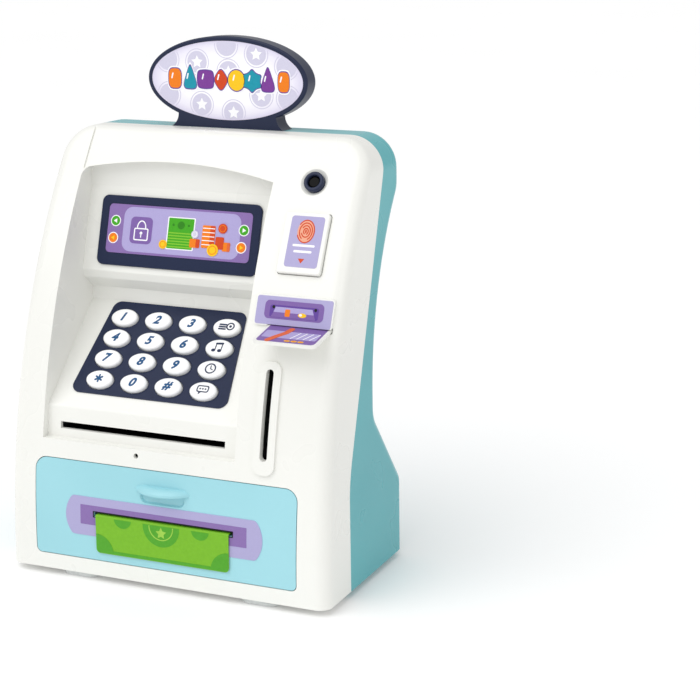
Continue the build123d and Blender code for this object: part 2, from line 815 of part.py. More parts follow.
pieces = [
    front_shell.part, rear_shell.part, feet.part, case_screws.part, sign_housing.part, sign_label.part,
    screen_bezel.part, screen_label.part, display_board.part, keypad_plate.part, key_membrane.part,
    keypad_board.part, touch_button.part, touch_sticker.part, touch_board.part, camera_ring.part,
    camera_lens.part, reader_sticker_part, bank_card.part, card_guide.part, coin_chute.part,
    note_chute.part, drawer.part, slot_sticker_part, banknote.part, drawer_rails.part,
    main_board.part, board_screws.part, speaker.part, battery_box.part, batteries.part,
    battery_contacts.part, battery_cover.part, battery_screw.part, switch_body.part,
    power_switch.part, *keys.values(),
]
for piece in pieces:
    export_step(piece, f"parts/{piece.label}.step")
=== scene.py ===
"""Looks of the toy cash-machine savings bank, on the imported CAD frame.

Sizes are in millimetres and turned into metres by the drawing surfaces below.  As in the CAD,
`depth` is measured behind the front foot of the shell and `height` above its underside.
"""
from math import asin, cos, degrees, pi, radians, sin, tau

import bpy
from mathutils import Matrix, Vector


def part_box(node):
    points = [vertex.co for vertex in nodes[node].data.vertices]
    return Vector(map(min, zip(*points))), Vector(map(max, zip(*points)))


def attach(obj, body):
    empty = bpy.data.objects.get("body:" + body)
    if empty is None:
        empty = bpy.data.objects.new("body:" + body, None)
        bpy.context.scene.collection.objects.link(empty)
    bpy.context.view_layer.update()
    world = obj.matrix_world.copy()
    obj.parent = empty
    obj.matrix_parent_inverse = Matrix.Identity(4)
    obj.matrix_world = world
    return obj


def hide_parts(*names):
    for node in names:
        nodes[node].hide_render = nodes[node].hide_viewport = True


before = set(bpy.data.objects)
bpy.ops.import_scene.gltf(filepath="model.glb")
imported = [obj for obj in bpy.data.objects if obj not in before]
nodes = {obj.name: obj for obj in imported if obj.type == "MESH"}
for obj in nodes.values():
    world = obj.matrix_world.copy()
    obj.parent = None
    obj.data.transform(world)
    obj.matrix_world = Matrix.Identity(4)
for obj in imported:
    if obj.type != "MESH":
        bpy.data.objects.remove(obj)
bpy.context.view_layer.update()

MM = 0.001
FRONT_Y = -46.0
FOOT_H = 3.5
LEAN_Z = 14.8
LEAN_R = 341.0

# Camera of the product picture: heading left of +Y, pitch down, lens and place.
CAMERA_AT = (0.3965, -0.7499, 0.3178)
CAMERA_TURN = 23.0
CAMERA_DOWN = 13.81
CAMERA_LENS = 91.27


def linear(hex_colour):
    """Linear RGBA of an sRGB colour written as RRGGBB."""
    channels = [int(hex_colour[i:i + 2], 16) / 255 for i in (0, 2, 4)]
    return (*[c / 12.92 if c <= 0.04045 else ((c + 0.055) / 1.055) ** 2.4 for c in channels], 1.0)


# ---------------------------------------------------------------------------------------------
# Materials
# ---------------------------------------------------------------------------------------------
class Finish:
    """Principled material with helpers that add the procedural parts."""

    def __init__(self, name, roughness, **sockets):
        self.material = bpy.data.materials.new(name)
        self.material.use_nodes = True
        self.tree = self.material.node_tree
        self.shader = self.tree.nodes["Principled BSDF"]
        self.shader.inputs["Roughness"].default_value = roughness
        for socket, value in sockets.items():
            self.shader.inputs[socket.replace("_", " ")].default_value = value
        self.where = self.add("ShaderNodeTexCoord").outputs["Object"]

    def add(self, kind, **settings):
        node = self.tree.nodes.new(kind)
        for key, value in settings.items():
            setattr(node, key, value)
        return node

    def link(self, output, target):
        self.tree.links.new(output, target)

    def noise(self, size_mm, detail=2.0):
        """Noise with features about size_mm across."""
        node = self.add("ShaderNodeTexNoise")
        node.inputs["Scale"].default_value = 1000.0 / size_mm
        node.inputs["Detail"].default_value = detail
        self.link(self.where, node.inputs["Vector"])
        return node.outputs["Fac"]

    def span(self, value, low, high, at=(0.3, 0.7)):
        """value mapped from the range `at` to low...high."""
        node = self.add("ShaderNodeMapRange")
        node.inputs["From Min"].default_value, node.inputs["From Max"].default_value = at
        node.inputs["To Min"].default_value, node.inputs["To Max"].default_value = low, high
        self.link(value, node.inputs["Value"])
        return node.outputs["Result"]

    def colours(self, fac, *stops):
        """Colour ramp over fac, stops as (position, RRGGBB)."""
        node = self.add("ShaderNodeValToRGB")
        ramp = node.color_ramp
        while len(ramp.elements) < len(stops):
            ramp.elements.new(0.5)
        for element, (position, colour) in zip(ramp.elements, stops):
            element.position = position
            element.color = linear(colour)
        self.link(fac, node.inputs["Fac"])
        self.link(node.outputs["Color"], self.shader.inputs["Base Color"])

    def roughen(self, size_mm, low, high):
        self.link(self.span(self.noise(size_mm), low, high), self.shader.inputs["Roughness"])

    def bump(self, height, depth_mm, strength=1.0):
        node = self.add("ShaderNodeBump")
        node.inputs["Distance"].default_value = depth_mm * MM
        node.inputs["Strength"].default_value = strength
        self.link(height, node.inputs["Height"])
        self.link(node.outputs["Normal"], self.shader.inputs["Normal"])


def moulded(name, light, dark, roughness=0.28, depth=0.004, gloss=0.5):
    """Moulded ABS: faint flow marks in the colour, fine grain and handling marks in the gloss."""
    finish = Finish(name, roughness, IOR=1.5, Specular_IOR_Level=gloss)
    finish.colours(finish.noise(70.0, 1.0), (0.35, dark), (0.65, light))
    finish.roughen(30.0, roughness - 0.02, roughness + 0.04)
    finish.bump(finish.noise(0.8), depth, 0.5)
    return finish.material


def printed(name, colour, shade, roughness=0.34, gloss=0.25):
    """Ink on a laminated film, with a trace of print grain."""
    finish = Finish(name, roughness, IOR=1.48, Specular_IOR_Level=gloss)
    finish.colours(finish.noise(0.45, 1.0), (0.3, shade), (0.7, colour))
    finish.roughen(30.0, roughness - 0.03, roughness + 0.05)
    finish.bump(finish.noise(22.0), 0.05, 0.2)
    return finish.material


def zinc(name):
    finish = Finish(name, 0.35, Metallic=1.0)
    finish.colours(finish.noise(1.2, 4.0), (0.3, "8E8F92"), (0.7, "B9BABC"))
    finish.roughen(0.8, 0.25, 0.45)
    return finish.material


def board(name):
    """Circuit board: green mask over faint copper tracks."""
    finish = Finish(name, 0.4, Coat_Weight=0.4, Coat_Roughness=0.2)
    tracks = finish.add("ShaderNodeTexVoronoi", distance="CHEBYCHEV", feature="F1")
    tracks.inputs["Scale"].default_value = 300.0
    finish.link(finish.where, tracks.inputs["Vector"])
    finish.colours(tracks.outputs["Distance"], (0.15, "1E7A46"), (0.4, "145A33"), (0.75, "0E4626"))
    finish.bump(tracks.outputs["Distance"], 0.03)
    return finish.material


def rubber(name, light, dark):
    finish = Finish(name, 0.7, IOR=1.45)
    finish.colours(finish.noise(2.5, 4.0), (0.3, dark), (0.7, light))
    finish.roughen(3.0, 0.6, 0.82)
    finish.bump(finish.noise(0.5, 4.0), 0.05, 0.5)
    return finish.material


def paper(name, colour, shade):
    """Uncoated note paper with fibres."""
    finish = Finish(name, 0.62, IOR=1.45)
    finish.colours(finish.noise(1.4, 5.0), (0.3, shade), (0.7, colour))
    finish.roughen(1.2, 0.52, 0.7)
    finish.bump(finish.noise(0.6, 5.0), 0.03, 0.6)
    return finish.material


WHITE = moulded("white_abs", "EEEEE9", "EBEBE6")
TEAL = moulded("teal_abs", "57AEB5", "50A7AF", gloss=0.35)
SKY = moulded("sky_abs", "A0D6E0", "9AD1DB", roughness=0.33, gloss=0.4)
NAVY = moulded("navy_abs", "232B45", "1F2740", roughness=0.32, gloss=0.25)
NAVY_FILM = printed("navy_film", "212A46", "1D2641", roughness=0.4, gloss=0.2)
KEY_CAP = moulded("key_cap_abs", "F8F8F8", "F2F3F4", roughness=0.2)
INNER = moulded("inner_abs", "D9DAD6", "CFD0CC", roughness=0.5, depth=0.03)
BLACK = moulded("black_abs", "17181A", "101113", roughness=0.42)
LENS = moulded("lens_black", "030304", "020203", roughness=0.15, depth=0.0, gloss=0.08)
CHUTE = moulded("chute_abs", "242628", "1E2021", roughness=0.6, gloss=0.2)
STEEL = zinc("zinc_steel")
BOARD = board("circuit_board")
FOOT = rubber("foot_rubber", "DDE0DF", "D2D6D5")
MEMBRANE = rubber("key_rubber", "8A8D92", "7D8085")
CELL = printed("cell_wrap", "2F6B4E", "27593F", roughness=0.3)
LILAC = printed("ink_lilac", "AEA8D0", "AAA4CD")
PURPLE = printed("ink_purple", "8A70AB", "866BA8")
NOTE_GREEN = paper("note_green", "78B81E", "72B21A")

FINISHES = {
    WHITE: ("front_shell", "touch_button", "bank_card"),
    TEAL: ("rear_shell", "battery_cover"),
    SKY: ("drawer",),
    NAVY: ("sign_housing", "camera_ring", "power_switch"),
    NAVY_FILM: ("screen_bezel", "keypad_plate"),
    INNER: ("card_guide", "drawer_rails", "battery_box"),
    CHUTE: ("coin_chute", "note_chute"),
    BLACK: ("speaker", "switch_body"),
    LENS: ("camera_lens",),
    STEEL: ("case_screws", "board_screws", "battery_contacts", "battery_screw"),
    BOARD: ("main_board", "keypad_board", "display_board", "touch_board"),
    FOOT: ("feet",),
    MEMBRANE: ("key_membrane",),
    CELL: ("batteries",),
    LILAC: ("reader_sticker", "slot_sticker", "touch_sticker"),
    PURPLE: ("screen_label",),
    NOTE_GREEN: ("banknote",),
    KEY_CAP: tuple(name for name in nodes if name.startswith("key_") and name != "key_membrane"),
}


def sign_paper():
    """Sign label: white in the middle, turning lilac towards the rim."""
    finish = Finish("sign_paper", 0.3, IOR=1.48, Specular_IOR_Level=0.3)
    place = finish.add("ShaderNodeMapping")
    low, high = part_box("sign_label")
    middle, half = (low + high) / 2, (high - low) / 2
    place.inputs["Scale"].default_value = (1 / half.x, 0.0, 1 / half.z)
    place.inputs["Location"].default_value = (-middle.x / half.x, 0.0, -middle.z / half.z)
    finish.link(finish.where, place.inputs["Vector"])
    reach = finish.add("ShaderNodeVectorMath", operation="LENGTH")
    finish.link(place.outputs["Vector"], reach.inputs[0])
    finish.colours(reach.outputs["Value"], (0.0, "FCFCFD"), (0.62, "F8F7FB"), (0.86, "ECE9F5"), (1.0, "D9D4EA"))
    return finish.material


FINISHES[sign_paper()] = ("sign_label",)

for finish, names in FINISHES.items():
    for name in names:
        mesh = nodes[name].data
        mesh.materials.clear()
        mesh.materials.append(finish)

# ---------------------------------------------------------------------------------------------
# Drawing surfaces: (across, up, proud) in millimetres to a point of the frame
# ---------------------------------------------------------------------------------------------
def flat_surface(across, depth, height, lean):
    """Flat surface through a point, facing forwards and tipped back by lean degrees."""
    origin = Vector((across, FRONT_Y + depth, FOOT_H + height))
    up = Vector((0, sin(radians(lean)), cos(radians(lean))))
    out = Vector((0, -cos(radians(lean)), sin(radians(lean))))
    return lambda u, v, h: (origin + Vector((u, 0, 0)) + v * up + h * out) * MM


def leaning_front(u, v, h):
    """The bank's leaning front: u across, v height above the shell's underside."""
    angle = asin(max(v - LEAN_Z, 0.0) / LEAN_R)
    reach = LEAN_R + h
    rise = min(v, LEAN_Z) + reach * sin(angle)
    return Vector((u, FRONT_Y + LEAN_R - reach * cos(angle), FOOT_H + rise)) * MM


def tangent_surface(across, height):
    """Flat surface that touches the leaning front at (across, height)."""
    angle = asin((height - LEAN_Z) / LEAN_R)
    return flat_surface(across, LEAN_R - LEAN_R * cos(angle), height, degrees(angle))


# ---------------------------------------------------------------------------------------------
# Outlines, as lists of (u, v) points
# ---------------------------------------------------------------------------------------------
def ellipse(u, v, ru, rv=None, steps=40):
    rv = ru if rv is None else rv
    return [(u + ru * cos(tau * i / steps), v + rv * sin(tau * i / steps)) for i in range(steps)]


def rounded(u0, v0, u1, v1, r, steps=6):
    """Rounded rectangle from its lower-left and upper-right corners."""
    corners = ((u1 - r, v1 - r, 0), (u0 + r, v1 - r, 1), (u0 + r, v0 + r, 2), (u1 - r, v0 + r, 3))
    return [
        (u + r * cos((quarter + i / steps) * pi / 2), v + r * sin((quarter + i / steps) * pi / 2))
        for u, v, quarter in corners for i in range(steps + 1)
    ]


def star(u, v, r, points=5, inner=0.5, turn=pi / 2):
    return [
        (u + r * (inner if i % 2 else 1) * cos(turn + pi * i / points),
         v + r * (inner if i % 2 else 1) * sin(turn + pi * i / points))
        for i in range(2 * points)
    ]


def stroke(path, width, cap=5):
    """Outline of a brush stroke along a path, with round ends."""
    points = [Vector(p) for p in path]
    left, right = [], []
    for i, point in enumerate(points):
        along = (points[min(i + 1, len(points) - 1)] - points[max(i - 1, 0)]).normalized()
        aside = Vector((-along.y, along.x)) * width / 2
        left.append(point + aside)
        right.append(point - aside)

    def arc(centre, start):
        return [
            centre + Vector((start.x * cos(a) + start.y * sin(a), -start.x * sin(a) + start.y * cos(a)))
            for a in (pi * (i + 1) / (cap + 1) for i in range(cap))
        ]

    return [tuple(p) for p in
            left + arc(points[-1], left[-1] - points[-1]) + right[::-1] + arc(points[0], right[0] - points[0])]


def arc_path(u, v, ru, rv, start, end, steps=24):
    """Points on an ellipse between two angles in degrees."""
    angles = [radians(start + (end - start) * i / steps) for i in range(steps + 1)]
    return [(u + ru * cos(a), v + rv * sin(a)) for a in angles]


def softened(loop, rounds=3):
    """Chaikin corner cutting: turns a polygon into a plump, smooth blob."""
    for _ in range(rounds):
        cut = []
        for (u0, v0), (u1, v1) in zip(loop, loop[1:] + loop[:1]):
            cut += [(0.8 * u0 + 0.2 * u1, 0.8 * v0 + 0.2 * v1), (0.2 * u0 + 0.8 * u1, 0.2 * v0 + 0.8 * v1)]
        loop = cut
    return loop


# ---------------------------------------------------------------------------------------------
# Printing
# ---------------------------------------------------------------------------------------------
def filled(curve):
    """Vertices (u, v) and faces of a filled 2D curve or text."""
    carrier = bpy.data.objects.new("fill", curve)
    bpy.context.scene.collection.objects.link(carrier)
    mesh = bpy.data.meshes.new_from_object(carrier)
    flat = [(v.co.x, v.co.y) for v in mesh.vertices], [tuple(p.vertices) for p in mesh.polygons]
    bpy.data.objects.remove(carrier)
    bpy.data.curves.remove(curve)
    bpy.data.meshes.remove(mesh)
    return flat


class Print:
    """Thin closed layers of ink on a drawing surface, gathered into one piece."""

    THICK = 0.05

    def __init__(self, surface, base=0.0):
        self.surface = surface
        self.base = base
        self.points, self.faces, self.inks, self.face_inks = [], [], [], []

    def layer(self, ink, flat, level):
        """A filled outline as a closed solid from the surface up to its level."""
        spots, faces = flat
        first, count = len(self.points), len(spots)
        top = self.base + level * self.THICK
        self.points += [self.surface(u, v, top) for u, v in spots]
        self.points += [self.surface(u, v, self.base) for u, v in spots]
        open_edges = {}
        for face in faces:
            for a, b in zip(face, face[1:] + face[:1]):
                if open_edges.pop((b, a), None) is None:
                    open_edges[(a, b)] = True
        made = [tuple(first + i for i in face) for face in faces]
        made += [tuple(first + count + i for i in reversed(face)) for face in faces]
        made += [(first + b, first + a, first + count + a, first + count + b) for a, b in open_edges]
        if ink not in self.inks:
            self.inks.append(ink)
        self.faces += made
        self.face_inks += [self.inks.index(ink)] * len(made)

    def shape(self, ink, *loops, level=1):
        """Area inside the first loop; further loops cut holes in it."""
        curve = bpy.data.curves.new("outline", "CURVE")
        curve.dimensions, curve.fill_mode = "2D", "FRONT"
        for loop in loops:
            spline = curve.splines.new("POLY")
            spline.points.add(len(loop) - 1)
            for point, (u, v) in zip(spline.points, loop):
                point.co = (u, v, 0, 1)
            spline.use_cyclic_u = True
        self.layer(ink, filled(curve), level)

    def figure(self, ink, text, u, v, size, slant, weight):
        """A digit or sign centred on (u, v)."""
        curve = bpy.data.curves.new("figure", "FONT")
        curve.body, curve.size, curve.shear, curve.offset = text, size, slant, weight
        curve.align_x, curve.align_y = "CENTER", "CENTER"
        curve.resolution_u = 5
        spots, faces = filled(curve)
        low = [min(s[i] for s in spots) for i in (0, 1)]
        high = [max(s[i] for s in spots) for i in (0, 1)]
        shift = [place - (a + b) / 2 for place, a, b in zip((u, v), low, high)]
        self.layer(ink, ([(s[0] + shift[0], s[1] + shift[1]) for s in spots], faces), 1)

    def piece(self, name, body, slot):
        mesh = bpy.data.meshes.new(name)
        mesh.from_pydata(self.points, [], self.faces)
        for ink in self.inks:
            mesh.materials.append(ink)
        mesh.polygons.foreach_set("material_index", self.face_inks)
        piece = bpy.data.objects.new(name, mesh)
        bpy.context.scene.collection.objects.link(piece)
        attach(piece, body)


INK = {
    name: printed("ink_" + name, colour, shade)
    for name, colour, shade in (
        ("blue", "0C4F80", "094A79"), ("navy", "1F2B4F", "1B2648"), ("white", "FBFBFD", "F3F3F7"),
        ("coin_lilac", "D3D0E3", "CDCADF"), ("lavender", "AFA6D4", "AAA0D0"), ("violet", "7F63A6", "7A5EA1"),
        ("plum", "63459A", "5E4094"), ("orange", "F0821C", "EA7A15"), ("rust", "D24A1E", "CB4418"),
        ("coral", "DF6A38", "D96232"), ("peach", "E9A98C", "E5A285"), ("yellow", "F8C81E", "F4C016"),
        ("green", "45A81F", "3FA11A"), ("dark_green", "2F8414", "2B7C11"), ("leaf", "84C433", "7DBE2D"),
        ("teal", "1C97AC", "178FA4"), ("purple", "7E3F98", "773990"), ("black", "0C0C0C", "080808"),
    )
}
NOTE_DARK = paper("note_dark_green", "4FA31F", "4A9D1B")
NOTE_LIGHT = paper("note_light_green", "9CCB4A", "96C643")

# Keys: figures on the digit keys and small pictures on the function keys.
CONSOLE = flat_surface(-15.25, 34.3, 105.0, 45.4)
KEY_PITCH = (18.97, 12.1)
KEY_TOP = 2.8
FIGURE_SIZE = 6.4
STAR_REACH = 1.9
KEY_NAMES = (("1", "2", "3", "coins"), ("4", "5", "6", "music"), ("7", "8", "9", "clock"),
             ("star", "0", "hash", "voice"))
KEY_SIGNS = {"hash": "#"}


def draw_coins(sheet, u, v):
    for i in range(3):
        low = v - 2.0 + 1.25 * i
        sheet.shape(INK["navy"], rounded(u - 3.9, low, u + 0.3, low + 0.9, 0.4))
    sheet.shape(INK["navy"], ellipse(u + 2.3, v + 0.2, 2.2), ellipse(u + 2.3, v + 0.2, 1.5)[::-1])
    sheet.shape(INK["navy"], ellipse(u + 2.3, v + 0.2, 0.7))


def draw_music(sheet, u, v):
    for side in (-1.6, 1.6):
        sheet.shape(INK["navy"], ellipse(u + side - 0.6, v - 1.8, 1.1, 0.85))
        sheet.shape(INK["navy"], stroke([(u + side + 0.2, v - 1.7), (u + side + 0.2, v + 2.2)], 0.5), level=2)
    sheet.shape(INK["navy"], stroke([(u - 1.4, v + 2.0), (u + 1.8, v + 2.3)], 1.0), level=3)


def draw_clock(sheet, u, v):
    sheet.shape(INK["navy"], ellipse(u, v, 2.9), ellipse(u, v, 2.2)[::-1])
    sheet.shape(INK["navy"], stroke([(u, v + 1.5), (u, v), (u + 1.1, v - 0.6)], 0.55))


def draw_voice(sheet, u, v):
    sheet.shape(INK["navy"], rounded(u - 3.2, v - 1.3, u + 3.2, v + 2.5, 1.1),
                rounded(u - 2.6, v - 0.7, u + 2.6, v + 1.9, 0.7)[::-1])
    sheet.shape(INK["navy"], [(u - 1.8, v - 1.2), (u - 0.4, v - 1.2), (u - 1.6, v - 2.7)], level=2)
    for i in (-1, 0, 1):
        sheet.shape(INK["navy"], ellipse(u + 1.4 * i, v + 0.6, 0.45))


PICTURES = {"coins": draw_coins, "music": draw_music, "clock": draw_clock, "voice": draw_voice}

for row, names in enumerate(KEY_NAMES):
    for column, name in enumerate(names):
        u, v = (column - 1.5) * KEY_PITCH[0], (1.5 - row) * KEY_PITCH[1]
        legend = Print(CONSOLE, KEY_TOP)
        if name in PICTURES:
            PICTURES[name](legend, u, v)
        elif name == "star":
            for i in range(3):
                a = pi / 2 + i * pi / 3
                du, dv = STAR_REACH * cos(a), STAR_REACH * sin(a)
                legend.shape(INK["blue"], stroke([(u - du, v - dv), (u + du, v + dv)], 0.95), level=1 + i)
        else:
            legend.figure(INK["blue"], KEY_SIGNS.get(name, name), u, v, FIGURE_SIZE, slant=0.3, weight=0.26)
        legend.piece("legend_" + name, "body_key_" + name, "key_white")

# Screen film: lilac window with a padlock, notes and coins between four round signs.
film = Print(flat_surface(-15.0, 51.4, 161.75, 15.8), 1.1)
film.shape(INK["lavender"], rounded(-30.7, -10.0, 33.7, 12.1, 4.6))
film.shape(INK["violet"], rounded(-26.6, -5.9, -14.4, 7.4, 2.4), level=2)
film.shape(INK["white"], rounded(-24.4, -4.3, -16.4, 1.9, 0.8), rounded(-23.8, -3.7, -17.0, 1.3, 0.4), level=3)
film.shape(INK["white"], stroke(arc_path(-20.4, 2.2, 2.3, 3.2, 0, 180), 0.6), level=3)
film.shape(INK["white"], ellipse(-20.4, -0.6, 0.75), level=3)
film.shape(INK["white"], stroke([(-20.4, -1.0), (-20.4, -2.6)], 0.5), level=3)
film.shape(INK["white"], rounded(-6.1, -7.4, 9.0, 8.6, 0.5), level=2)
film.shape(INK["green"], rounded(-5.5, -6.9, 8.4, 8.1, 0.2), level=3)
film.shape(INK["dark_green"], ellipse(1.4, 4.7, 1.9), level=4)
for side in (-1, 1):
    film.shape(INK["dark_green"], ellipse(1.4 + 4.2 * side, 4.7, 0.6), level=4)
for i in range(6):
    film.shape(INK["leaf"], rounded(-5.3, -6.3 + 1.35 * i, 8.2, -5.7 + 1.35 * i, 0.1), level=4)
for u0, v0, u1, v1, light, dark in (
    (6.9, -5.7, 12.4, -1.4, "orange", "rust"), (13.3, -5.4, 20.3, 5.6, "orange", "rust"),
    (20.8, -5.6, 25.4, 0.4, "rust", "rust"), (24.8, -6.4, 29.0, -2.0, "orange", "coral"),
):
    film.shape(INK[light], rounded(u0, v0, u1, v1, 0.6), level=5)
    film.shape(INK[dark], rounded(u0 + 0.62 * (u1 - u0), v0 + 0.1, u1 - 0.1, v1 - 0.1, 0.5), level=6)
for i in range(5):
    film.shape(INK["white"], rounded(13.5, -4.0 + 2.0 * i, 20.1, -3.6 + 2.0 * i, 0.15), level=7)
for u, v, r, colour in ((-7.6, -5.2, 2.2, "yellow"), (9.4, 0.8, 1.9, "coin_lilac"), (24.2, 4.6, 2.4, "rust"),
                        (19.8, -6.2, 3.0, "yellow")):
    film.shape(INK[colour], ellipse(u, v, r), level=8)
    film.shape(INK["white" if colour == "coin_lilac" else "orange"], ellipse(u, v, 0.72 * r), ellipse(u, v, 0.6 * r),
               level=9)
for u, v, colour in ((-35.2, 4.7, "green"), (-35.8, -3.8, "orange"), (35.5, 4.5, "green"), (34.9, -3.9, "orange")):
    film.shape(INK["white"], ellipse(u, v, 2.8), level=2)
    film.shape(INK[colour], ellipse(u, v, 2.35), level=3)
    turn = 1 if u > 0 else -1
    film.shape(INK["yellow" if colour == "orange" else "white"],
               [(u - 0.7 * turn, v - 1.1), (u + 1.2 * turn, v), (u - 0.7 * turn, v + 1.1)][::turn], level=4)
film.piece("screen_film", "case", "screen_print")

# Fingerprint sticker: loops of ridges over an arrow; plain bars stand where words were.
touch = Print(tangent_surface(59.75, 165.4), 2.15)
FINGER = (0.7, 5.5)
touch.shape(INK["peach"], ellipse(*FINGER, 4.3, 5.5))
touch.shape(INK["rust"], ellipse(*FINGER, 0.4, 0.9), level=2)
for i in range(4):
    reach, start = 1.35 + 1.22 * i, 250 + 47 * (-1) ** i
    ridge = arc_path(*FINGER, 0.84 * reach, 1.08 * reach, start, start + 300, 48)
    touch.shape(INK["rust"], stroke(ridge, 0.56), level=2)
for v, half in ((-1.4, 5.6), (-4.3, 4.6)):
    touch.shape(INK["white"], rounded(0.8 - half, v - 0.55, 0.8 + half, v + 0.55, 0.5))
touch.shape(INK["rust"], [(-0.8, -7.7), (2.4, -7.7), (0.8, -10.0)][::-1])
touch.piece("touch_print", "touch_plate", "purple_print")

# Card reader label: a card going into its slot.
reader = Print(leaning_front, 1.4)
reader.shape(INK["violet"], rounded(45.9, 131.9, 75.8, 140.0, 2.2))
reader.shape(INK["plum"], rounded(48.6, 132.6, 73.2, 138.0, 1.0), level=2)
reader.shape(INK["lavender"], [(50.6, 134.9), (71.0, 134.9), (70.0, 137.2), (51.4, 137.2)], level=3)
reader.shape(INK["violet"], [(49.4, 132.7), (72.0, 132.7), (71.0, 134.9), (50.6, 134.9)], level=3)
reader.shape(INK["orange"], rounded(56.4, 133.2, 59.0, 136.4, 0.5), level=4)
reader.shape(INK["yellow"], ellipse(65.2, 134.3, 2.1, 0.95), level=4)
reader.shape(INK["white"], ellipse(64.4, 134.4, 0.8, 0.5), level=5)
for u in (50.4, 71.6):
    reader.shape(INK["black"], ellipse(u, 137.1, 0.7), level=4)
reader.piece("reader_print", "case", "purple_print")

# Play bank card, which rises into its slot by 11 degrees.
card = Print(flat_surface(64.25, 19.4, 128.6, 90 - 11), 0.7)
card.shape(INK["violet"], rounded(-14.6, -17.3, 14.6, 26.0, 2.0))
card.shape(INK["lavender"], rounded(-13.6, -13.0, 13.6, -5.5, 0.8), level=2)
for i in range(4):
    card.shape(INK["white"], stroke([(1.0 + 3.2 * i, -12.5), (3.6 + 3.2 * i, -6.2)], 0.5), level=3)
card.shape(INK["coral"], stroke([(-8.8, -16.0), (-6.6, -12.0), (-3.4, -7.0), (-2.4, -3.0)], 3.0), level=4)
for u in (0.6, 4.0, 7.4):
    card.shape(INK["yellow"], ellipse(u, -15.4, 1.5, 0.75), level=4)
    card.shape(INK["orange"], ellipse(u, -15.4, 0.9, 0.4), level=5)
card.piece("card_print", "card", "card_print")

# Drawer slot surround.
slot_band = Print(leaning_front, 0.2)
slot_band.shape(PURPLE, rounded(-45, 25.6, 45, 35.4, 0.3), rounded(-37.5, 30.0, 37.5, 32.4, 0.05)[::-1])
# Painted shade: a black ring round the slot stands in for the dark inside of the opening; the purple band around it
# is print.
slot_band.shape(INK["black"], rounded(-38.0, 29.6, 38.0, 32.8, 0.1), rounded(-37.5, 30.1, 37.5, 32.3, 0.05)[::-1],
                level=2)
slot_band.piece("slot_print_and_painted_shade", "money_drawer", "purple_print")

# Banknote: a folded sheet with round corners, and its printing on the part that hangs down.
NOTE_LOW, NOTE_FOLD, NOTE_END = 12.2, 31.3, 12.5
NOTE_HALF, NOTE_CORNER, BEND = 36.0, 2.2, 0.6
NOTE_HANG = NOTE_FOLD - BEND - NOTE_LOW
PAPER_HALF = 0.15


def note_point(u, along, h):
    """u across the note, along it from its lower edge, h out of its printed face."""
    turned = min(max((along - NOTE_HANG) / (BEND * pi / 2), 0.0), 1.0) * pi / 2
    back = max(along - NOTE_HANG - BEND * pi / 2, 0.0)
    reach = BEND + h
    depth = BEND - 0.75 - reach * cos(turned) + back
    height = NOTE_LOW + min(along, NOTE_HANG) + reach * sin(turned)
    return Vector((u, FRONT_Y + depth, FOOT_H + height)) * MM


def note_sheet():
    """The paper: rings of points round each row, closed at both ends."""
    rows = [NOTE_CORNER * (1 - cos(pi / 2 * i / 8)) for i in range(9)] + [8.0, 13.0]
    rows += [NOTE_HANG + BEND * pi / 2 * i / 6 for i in range(7)]
    rows += [NOTE_HANG + BEND * pi / 2 + 6, NOTE_HANG + NOTE_END]
    columns = 24
    points, faces = [], []
    for along in rows:
        inset = NOTE_CORNER - (NOTE_CORNER ** 2 - max(NOTE_CORNER - along, 0) ** 2) ** 0.5
        half = NOTE_HALF - inset
        across = [half * (2 * i / columns - 1) for i in range(columns + 1)]
        points += [note_point(u, along, PAPER_HALF) for u in across]
        points += [note_point(u, along, -PAPER_HALF) for u in across[::-1]]
    ring = 2 * (columns + 1)
    for row in range(len(rows) - 1):
        for i in range(ring):
            a, b = row * ring + i, row * ring + (i + 1) % ring
            faces.append((a, b, b + ring, a + ring))
    last = (len(rows) - 1) * ring
    for i in range(columns):
        faces.append((i + 1, i, ring - 1 - i, ring - 2 - i))
        faces.append((last + i, last + i + 1, last + ring - 2 - i, last + ring - 1 - i))
    mesh = bpy.data.meshes.new("note_sheet")
    mesh.from_pydata(points, [], faces)
    mesh.materials.append(NOTE_GREEN)
    sheet = bpy.data.objects.new("note_sheet", mesh)
    bpy.context.scene.collection.objects.link(sheet)
    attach(sheet, "note")
    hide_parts("banknote")


note_sheet()
note = Print(note_point, PAPER_HALF)
TOP = NOTE_HANG - 0.2


def disc_below_fold(u, v, r):
    """Disc cut off where the note folds back into its slot."""
    reach = degrees(asin((TOP - v) / r))
    return arc_path(u, v, r, r, 180 - reach, 360 + reach, 40)


note.shape(NOTE_DARK, rounded(-33.6, 0.3, 33.6, 1.9, 0.6))
for side in (-1, 1):
    quarter_turn = [pi / 2 * i / 12 for i in range(13)]
    quarter = [(side * (35.8 - 9.4 * sin(a)), 0.3 + 9.4 * cos(a)) for a in quarter_turn]
    edge = [(side * (33.8 + 2.0 * cos(a)), 2.3 - 2.0 * sin(a)) for a in quarter_turn[::2]]
    note.shape(NOTE_DARK, quarter + edge[::-1], level=2)
    note.shape(NOTE_DARK, disc_below_fold(side * 21.0, 18.9, 4.8))
note.shape(NOTE_DARK, disc_below_fold(0, 17.6, 9.9))
note.shape(NOTE_LIGHT, stroke(arc_path(0, 17.6, 6.4, 6.4, 178, 362, 40), 0.5), level=2)
note.shape(NOTE_LIGHT, star(0, 14.6, 3.0), level=2)
note.piece("note_print", "note", "note_paper")

# Sign: pale coins behind a row of bright, plump counters.
sign = Print(flat_surface(0, 75.5, 235.2, 0), -0.2)
RIM_U, RIM_V = 40.4, 18.5


def pulled_in(loop):
    """The loop, cut off at the rim of the label."""
    reaches = [max(1.0, ((u / RIM_U) ** 2 + (v / RIM_V) ** 2) ** 0.5) for u, v in loop]
    return [(u / reach, v / reach) for (u, v), reach in zip(loop, reaches)]


